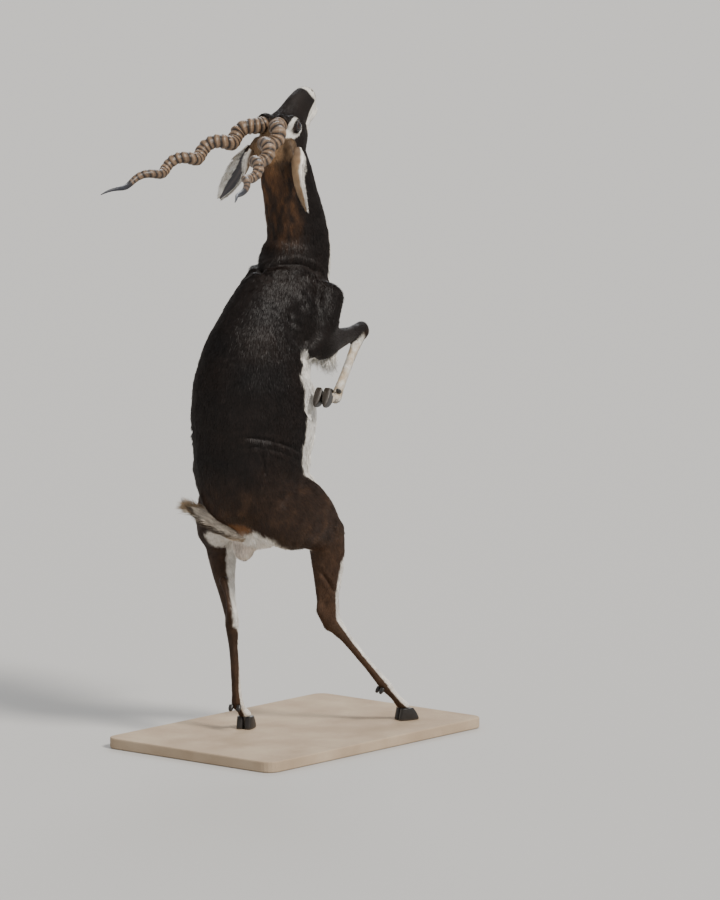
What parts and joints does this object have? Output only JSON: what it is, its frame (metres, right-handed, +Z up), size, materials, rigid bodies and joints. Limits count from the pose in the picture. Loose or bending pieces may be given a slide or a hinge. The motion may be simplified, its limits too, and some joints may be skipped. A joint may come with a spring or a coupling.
{
  "type": "rearing male blackbuck antelope model",
  "caption": "Still life-size model of a male blackbuck rearing on its hind legs, with long ringed spiral horns, on a flat display base.",
  "frame": {"origin": "centre of the underside of the flat display base", "axes": "+Z up, the animal faces -Y, and +X is towards its left side"},
  "size_m": [0.5, 0.9246, 1.4921],
  "materials": {
    "coat": "short close fur, black-brown with a soft sheen, white below, on the lower legs, chin and eye rings",
    "tail_hair": "longer buff hair with a dark edge, lying in flat locks",
    "horn": "ringed keratin, brown at the root and blue-black and smoother at the tip, satin",
    "eye": "clear wet glass over a dark brown eye",
    "hoof": "dark keratin, satin, worn matt and scuffed at the ground edge",
    "base_board": "board with rounded edges, matt sand-coloured paint"
  },
  "bodies": {
    "root": {"stand_base": "base_board", "head": "coat", "neck": "coat", "torso": "coat", "tail": "tail_hair", "ear_left": "coat", "horn_left": "horn", "eye_left": "eye", "foreleg_left_forearm": "coat", "foreleg_left_cannon": "coat", "foreleg_left_pastern": "coat", "hindleg_left_thigh": "coat", "hindleg_left_shank": "coat", "hindleg_left_cannon": "coat", "hindleg_left_pastern": "coat", "hoof_fore_left_inner": "hoof", "dewclaw_fore_left_inner": "hoof", "hoof_fore_left_outer": "hoof", "dewclaw_fore_left_outer": "hoof", "hoof_hind_left_inner": "hoof", "dewclaw_hind_left_inner": "hoof", "hoof_hind_left_outer": "hoof", "dewclaw_hind_left_outer": "hoof", "ear_right": "coat", "horn_right": "horn", "eye_right": "eye", "foreleg_right_forearm": "coat", "foreleg_right_cannon": "coat", "foreleg_right_pastern": "coat", "hindleg_right_thigh": "coat", "hindleg_right_shank": "coat", "hindleg_right_cannon": "coat", "hindleg_right_pastern": "coat", "hoof_fore_right_inner": "hoof", "dewclaw_fore_right_inner": "hoof", "hoof_fore_right_outer": "hoof", "dewclaw_fore_right_outer": "hoof", "hoof_hind_right_inner": "hoof", "dewclaw_hind_right_inner": "hoof", "hoof_hind_right_outer": "hoof", "dewclaw_hind_right_outer": "hoof"}
  },
  "joints": []
}
